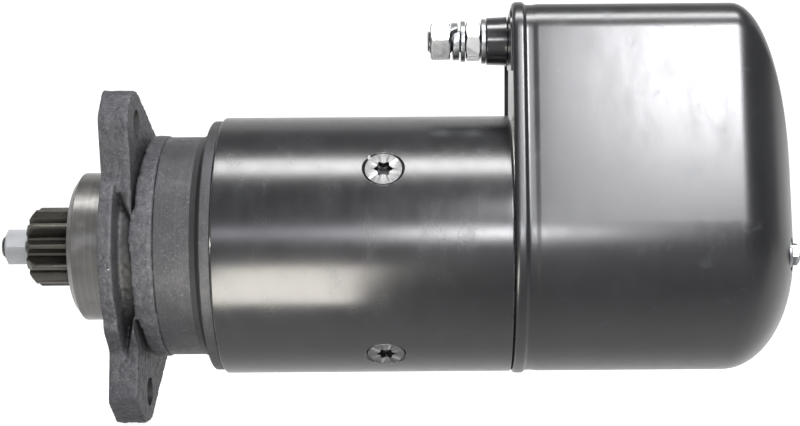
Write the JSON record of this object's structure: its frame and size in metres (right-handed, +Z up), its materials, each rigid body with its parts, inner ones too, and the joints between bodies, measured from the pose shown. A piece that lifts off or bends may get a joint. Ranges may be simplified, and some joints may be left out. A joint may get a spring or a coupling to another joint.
{
  "type": "starter motor",
  "caption": "Heavy-duty coaxial engine starter motor with a flanged iron nose, sliding pinion, round pole housing, deep rear cover and a stud terminal.",
  "frame": {"origin": "centre of the whole starter's box; the flange's front face and the shaft axis cross at [-0.141357, -0.011012, -0.01495] m", "axes": "+X along the shaft from the pinion towards the rear cover; +Z up, towards the battery terminal; -Y is the side seen from the front"},
  "size_m": [0.4066, 0.156, 0.21],
  "materials": {
    "cast_black": "satin black paint over a cast surface",
    "black_paint": "semi-gloss black paint",
    "zinc_plate": "bright zinc plating",
    "dark_steel": "oiled, hardened dark steel",
    "bright_steel": "ground steel",
    "screw_steel": "turned steel screw, oiled",
    "end_shield_metal": "satin cast aluminium",
    "black_plastic": "moulded black insulating plastic",
    "copper": "bare and varnished copper",
    "laminated_iron": "varnished laminations",
    "bronze": "sintered bronze",
    "carbon": "copper-graphite brush",
    "seal_rubber": "matt rubber",
    "spring_steel": "drawn spring wire"
  },
  "bodies": {
    "starter_body": {"drive_end_housing": "cast_black", "shaft_seal": "seal_rubber", "nose_bearing": "bronze", "intermediate_plate": "bright_steel", "intermediate_bearing": "bronze", "pole_housing": "black_paint", "pole_shoe_1": "laminated_iron", "pole_shoe_2": "laminated_iron", "pole_shoe_3": "laminated_iron", "pole_shoe_4": "laminated_iron", "pole_screw_1": "screw_steel", "pole_screw_2": "screw_steel", "pole_screw_3": "screw_steel", "pole_screw_4": "screw_steel", "field_winding": "copper", "commutator_end_shield": "end_shield_metal", "rear_bearing": "bronze", "brush_ring": "end_shield_metal", "brush_spring_1": "spring_steel", "brush_spring_2": "spring_steel", "brush_spring_3": "spring_steel", "brush_spring_4": "spring_steel", "solenoid_yoke": "bright_steel", "solenoid_coil": "copper", "core_return_spring": "spring_steel", "control_relay": "bright_steel", "terminal_stud": "zinc_plate", "terminal_nut_outer": "zinc_plate", "terminal_spring_washer": "zinc_plate", "terminal_washer_outer": "zinc_plate", "terminal_nut_inner": "zinc_plate", "terminal_washer_inner": "zinc_plate", "terminal_insulator": "black_plastic", "insulating_plate": "black_plastic", "rear_cover": "black_paint", "cover_screw_near": "zinc_plate", "cover_screw_far": "zinc_plate", "spindle_return_spring": "spring_steel"},
    "armature": {"armature_shaft": "bright_steel", "armature_core": "laminated_iron", "armature_winding": "copper", "commutator": "copper", "clutch_drum": "dark_steel", "clutch_drive_plate_1": "bright_steel", "clutch_drive_plate_2": "bright_steel"},
    "clutch_inner": {"clutch_hub": "bright_steel", "clutch_driven_plate_1": "bronze", "clutch_driven_plate_2": "bronze"},
    "pinion_set": {"drive_spindle": "bright_steel", "pinion": "dark_steel", "pinion_lock_nut": "zinc_plate"},
    "solenoid_plunger": {"solenoid_core": "bright_steel", "engagement_rod": "bright_steel"},
    "relay_contact": {"relay_armature": "bright_steel", "contact_bridge": "copper"},
    "release_lever": {"trip_lever": "bright_steel"},
    "brush_slide_1": {"brush_1": "carbon"},
    "brush_slide_2": {"brush_2": "carbon"},
    "brush_slide_3": {"brush_3": "carbon"},
    "brush_slide_4": {"brush_4": "carbon"}
  },
  "joints": [
    {"name": "armature_spin", "type": "hinge", "parent": "starter_body", "child": "armature", "pos_m": [-0.00386, -0.01101, -0.01495], "axis": [1, 0, 0], "continuous": true},
    {"name": "clutch_overrun", "type": "hinge", "parent": "armature", "child": "clutch_inner", "pos_m": [-0.09336, -0.01101, -0.01495], "axis": [1, 0, 0], "continuous": true},
    {"name": "pinion_slide", "type": "slide", "parent": "clutch_inner", "child": "pinion_set", "axis": [-1, 0, 0], "range_m": [0, 0.02], "deforming": ["spindle_return_spring"]},
    {"name": "solenoid_stroke", "type": "slide", "parent": "starter_body", "child": "solenoid_plunger", "axis": [-1, 0, 0], "range_m": [0, 0.02], "deforming": ["core_return_spring"]},
    {"name": "relay_stroke", "type": "slide", "parent": "starter_body", "child": "relay_contact", "axis": [-1, 0, 0], "range_m": [0, 0.003]},
    {"name": "release_lever_swing", "type": "hinge", "parent": "starter_body", "child": "release_lever", "pos_m": [0.16964, -0.01101, 0.04305], "axis": [0, 1, 0], "range_deg": [0, 19.9]},
    {"name": "brush_1_lift", "type": "slide", "parent": "starter_body", "child": "brush_slide_1", "axis": [0, -0.7071, 0.7071], "range_m": [0, 0.005], "deforming": ["brush_spring_1"]},
    {"name": "brush_2_lift", "type": "slide", "parent": "starter_body", "child": "brush_slide_2", "axis": [0, 0.7071, 0.7071], "range_m": [0, 0.005], "deforming": ["brush_spring_2"]},
    {"name": "brush_3_lift", "type": "slide", "parent": "starter_body", "child": "brush_slide_3", "axis": [0, 0.7071, -0.7071], "range_m": [0, 0.005], "deforming": ["brush_spring_3"]},
    {"name": "brush_4_lift", "type": "slide", "parent": "starter_body", "child": "brush_slide_4", "axis": [0, -0.7071, -0.7071], "range_m": [0, 0.005], "deforming": ["brush_spring_4"]}
  ],
  "couplings": [
    {"joint": "solenoid_stroke", "follows": "pinion_slide", "ratio": 1},
    {"joint": "release_lever_swing", "follows": "pinion_slide", "rad_per_m": 17.331}
  ]
}
